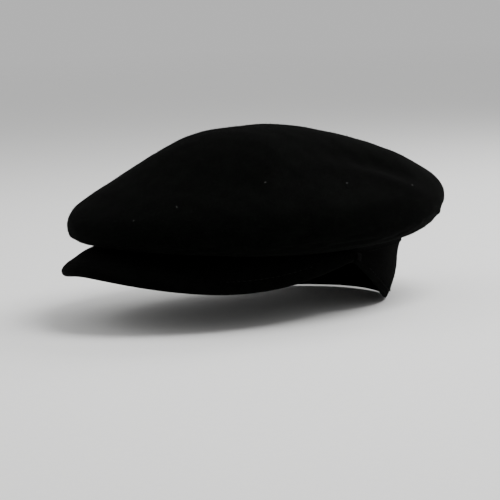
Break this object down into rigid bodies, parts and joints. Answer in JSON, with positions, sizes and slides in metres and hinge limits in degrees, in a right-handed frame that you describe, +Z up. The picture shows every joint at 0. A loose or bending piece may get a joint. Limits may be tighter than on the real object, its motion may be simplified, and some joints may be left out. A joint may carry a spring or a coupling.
{
  "type": "flat cap",
  "caption": "Blocked wool-felt flat cap: a puffed beret-like crown over a neck band, with a short stiff sewn-in peak and a lined inside.",
  "frame": {"origin": "centre of the head opening, in the plane where the crown meets the band at the sides and rear", "axes": "+Z up, -Y to the front where the peak is, +X to the wearer's left"},
  "size_m": [0.21, 0.286, 0.122],
  "materials": {
    "crown_felt": "matt brushed wool felt, near black, with a faint grey bloom",
    "band_felt": "matt wool felt, near black",
    "peak_felt": "smooth pressed wool felt, near black",
    "lining_satin": "black satin with a soft sheen",
    "sweatband_grosgrain": "black ribbed grosgrain ribbon",
    "label_cloth": "plain woven label, dark grey, no lettering",
    "label_thread": "grey sewing thread",
    "dark_thread": "black sewing thread",
    "peak_board": "stiff buff board, sealed inside the peak",
    "tag_cloth": "plain off-white satin tape, no lettering"
  },
  "bodies": {
    "cap": {"crown": "crown_felt", "neck_band": "band_felt", "lining_top": "lining_satin", "lining_left": "lining_satin", "lining_right": "lining_satin", "sweatband": "sweatband_grosgrain", "sweatband_join": "sweatband_grosgrain", "woven_label": "label_cloth", "label_stitches": "label_thread", "neck_band_stitches": "dark_thread", "crown_seam_stitches": "dark_thread", "sweatband_stitches": "dark_thread", "ear_tack_stitches": "dark_thread"},
    "peak": {"peak_top_cover": "peak_felt", "peak_board": "peak_board", "peak_under_cover": "peak_felt", "peak_edge_stitches": "dark_thread"},
    "size_tag": {"size_tag": "tag_cloth"},
    "care_tag": {"care_tag": "tag_cloth"}
  },
  "joints": [
    {"name": "peak_hinge", "type": "hinge", "parent": "cap", "child": "peak", "pos_m": [0, 0.016, -0.003], "axis": [1, 0, 0], "range_deg": [0, 8], "stiffness_Nm_per_rad": 0.8, "springref_deg": -5.73},
    {"name": "size_tag_hinge", "type": "hinge", "parent": "cap", "child": "size_tag", "pos_m": [-0.04095, 0.08738, 0.0085], "axis": [-0.819, -0.5738, 0], "range_deg": [0, 110]},
    {"name": "care_tag_hinge", "type": "hinge", "parent": "cap", "child": "care_tag", "pos_m": [0.04095, 0.08738, 0.0085], "axis": [-0.819, 0.5738, 0], "range_deg": [0, 110]}
  ]
}
